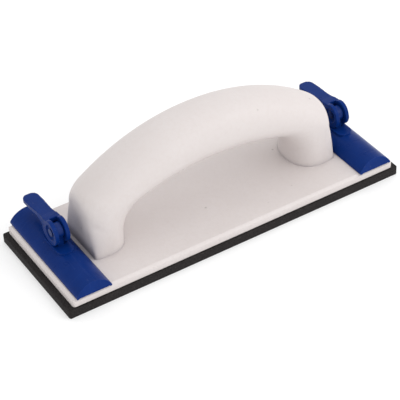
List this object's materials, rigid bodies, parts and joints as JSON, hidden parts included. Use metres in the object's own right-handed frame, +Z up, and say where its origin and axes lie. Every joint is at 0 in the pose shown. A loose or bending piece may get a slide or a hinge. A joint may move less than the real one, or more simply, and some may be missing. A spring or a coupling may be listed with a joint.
{
  "type": "hand sanding block",
  "caption": "Long sanding block with an arched handle on a base plate over a foam sole; a cam lever at each end draws down a bar that clamps the end of an abrasive strip.",
  "frame": {"origin": "middle of the sole's underside", "axes": "+X along the block, +Y across it towards the closed levers' tips, +Z up"},
  "size_m": [0.23, 0.082, 0.0759],
  "materials": {
    "foam": "matt fine-celled foam rubber, charcoal",
    "adhesive": "tacky film",
    "white_plastic": "satin moulded plastic, warm off-white",
    "blue_plastic": "satin to gloss moulded plastic, deep blue",
    "steel": "zinc-plated",
    "spring_steel": "plain wire and strip"
  },
  "bodies": {
    "block": {"foam_pad": "foam", "adhesive_film": "adhesive", "base_plate": "white_plastic", "handle": "white_plastic", "handle_screws": "steel", "left_draw_bolt": "blue_plastic", "right_draw_bolt": "blue_plastic", "left_return_spring": "spring_steel", "right_return_spring": "spring_steel"},
    "left_lever": {"left_cam_lever": "blue_plastic", "left_pivot_pin": "steel", "left_pin_clip": "spring_steel"},
    "left_bar": {"left_clamp_bar": "blue_plastic"},
    "right_lever": {"right_cam_lever": "blue_plastic", "right_pivot_pin": "steel", "right_pin_clip": "spring_steel"},
    "right_bar": {"right_clamp_bar": "blue_plastic"}
  },
  "joints": [
    {"name": "left_lever_hinge", "type": "hinge", "parent": "block", "child": "left_lever", "pos_m": [-0.09805, 0, 0.02895], "axis": [1, 0, 0], "range_deg": [0, 110.1]},
    {"name": "left_bar_lift", "type": "slide", "parent": "block", "child": "left_bar", "axis": [0, 0, 1], "range_m": [0, 0.002], "deforming": ["left_return_spring"]},
    {"name": "right_lever_hinge", "type": "hinge", "parent": "block", "child": "right_lever", "pos_m": [0.09805, 0, 0.02895], "axis": [1, 0, 0], "range_deg": [0, 110.1]},
    {"name": "right_bar_lift", "type": "slide", "parent": "block", "child": "right_bar", "axis": [0, 0, 1], "range_m": [0, 0.002], "deforming": ["right_return_spring"]}
  ],
  "couplings": [
    {"joint": "left_lever_hinge", "follows": "left_bar_lift", "rad_per_m": 959.93},
    {"joint": "right_lever_hinge", "follows": "right_bar_lift", "rad_per_m": 959.93}
  ]
}
